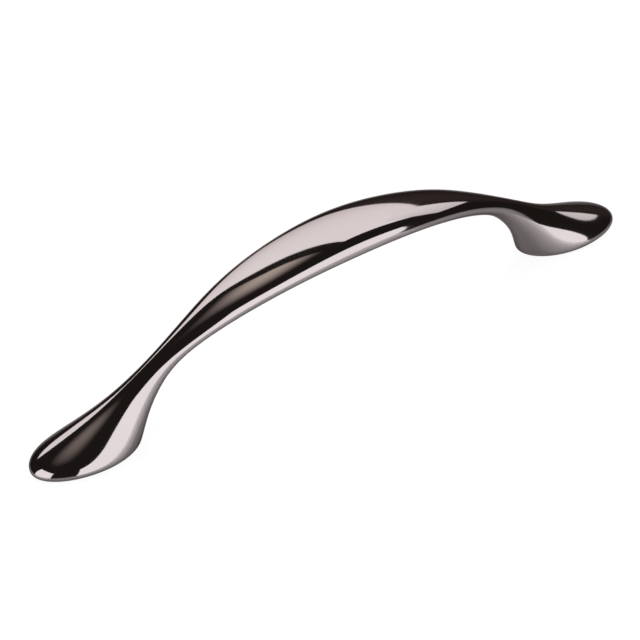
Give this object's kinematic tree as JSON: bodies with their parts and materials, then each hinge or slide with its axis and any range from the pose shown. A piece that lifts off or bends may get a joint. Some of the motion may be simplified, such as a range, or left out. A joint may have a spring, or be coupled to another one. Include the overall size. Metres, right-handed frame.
{
  "type": "arch pull",
  "caption": "Polished arch pull for a drawer or cabinet door: a wide rounded grip that narrows to necks and runs out into flat spoon-shaped feet with blind screw holes.",
  "frame": {"origin": "midpoint between the two screw holes, on the mounting plane under the feet", "axes": "+X along the pull from foot to foot, +Z away from the drawer front, +Y across the grip"},
  "size_m": [0.128, 0.0122, 0.024],
  "materials": {
    "black_nickel": "mirror-polished black nickel plating on die-cast zinc"
  },
  "bodies": {
    "root": {"arch_pull": "black_nickel"}
  },
  "joints": []
}
